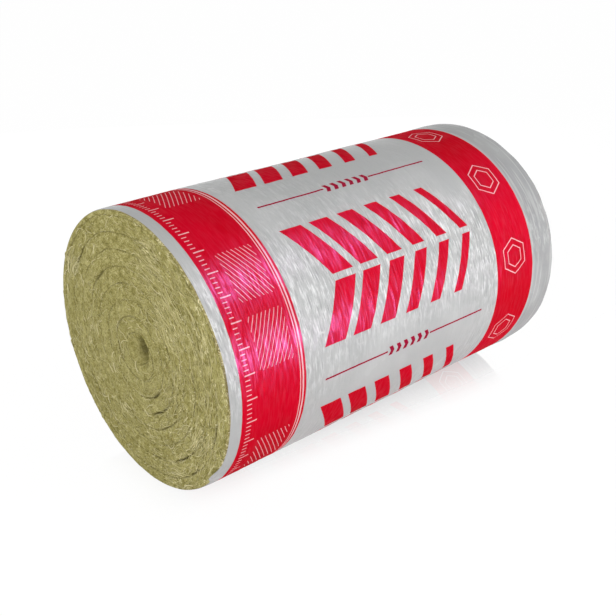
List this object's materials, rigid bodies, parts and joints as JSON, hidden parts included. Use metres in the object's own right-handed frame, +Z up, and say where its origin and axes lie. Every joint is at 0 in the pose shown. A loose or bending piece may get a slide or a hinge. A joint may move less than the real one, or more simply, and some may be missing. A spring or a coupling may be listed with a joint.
{
  "type": "mineral wool insulation roll",
  "caption": "Mineral wool mat wound into a lying roll, its spiral of turns open on both ends, held by a printed wrap of thin packing film.",
  "frame": {"origin": "on the ground under the middle of the lying roll", "axes": "+X along the roll's axis, from the end that the picture shows towards the other end; +Z up"},
  "size_m": [1, 0.6004, 0.6003],
  "materials": {
    "wool": "fibrous mineral wool, matt olive yellow, with pale fibres",
    "film": "grey packing film, glossy and finely creased, printed in red"
  },
  "bodies": {
    "root": {"wool_roll": "wool", "film_wrap": "film"}
  },
  "joints": []
}
